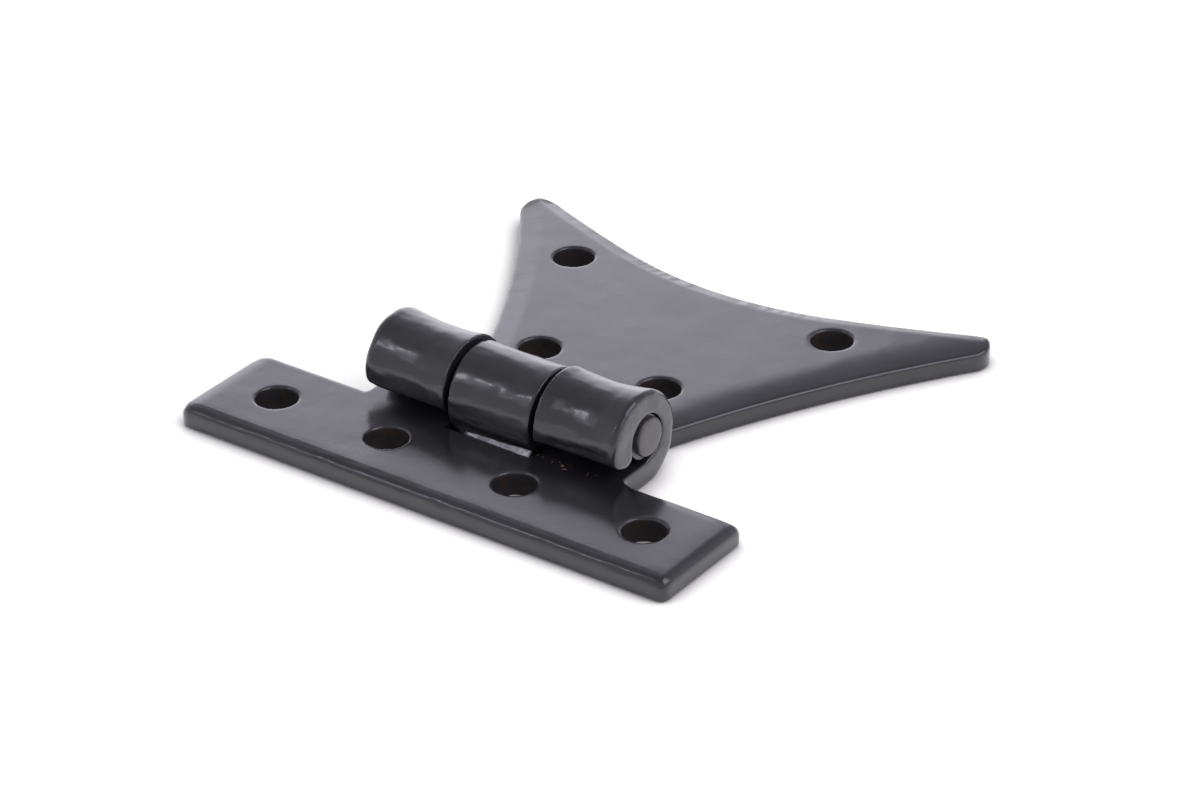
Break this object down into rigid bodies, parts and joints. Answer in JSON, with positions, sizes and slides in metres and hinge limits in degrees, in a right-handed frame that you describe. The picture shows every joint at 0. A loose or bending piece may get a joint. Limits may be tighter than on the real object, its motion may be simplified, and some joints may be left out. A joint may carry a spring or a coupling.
{
  "type": "half butterfly hinge",
  "caption": "Half butterfly hinge: a straight strip leaf and a flared, horned wing leaf, joined by a rolled barrel that turns on a plain pin.",
  "frame": {"origin": "midway between the strip leaf's two outer screw holes, on its back face", "axes": "+X along the pin, +Y from the strip leaf to the wing leaf, +Z out of the face that shows when it is screwed on"},
  "size_m": [0.0659, 0.062, 0.011],
  "materials": {
    "black_sheet": "worn semi-gloss black",
    "black_pin": "thin worn black"
  },
  "bodies": {
    "strip": {"strip_leaf": "black_sheet", "hinge_pin": "black_pin"},
    "wing": {"wing_leaf": "black_sheet"}
  },
  "joints": [
    {"name": "pin_hinge", "type": "hinge", "parent": "strip", "child": "wing", "pos_m": [0, 0.0114, 0.00555], "axis": [1, 0, 0], "range_deg": [-90, 195]}
  ]
}
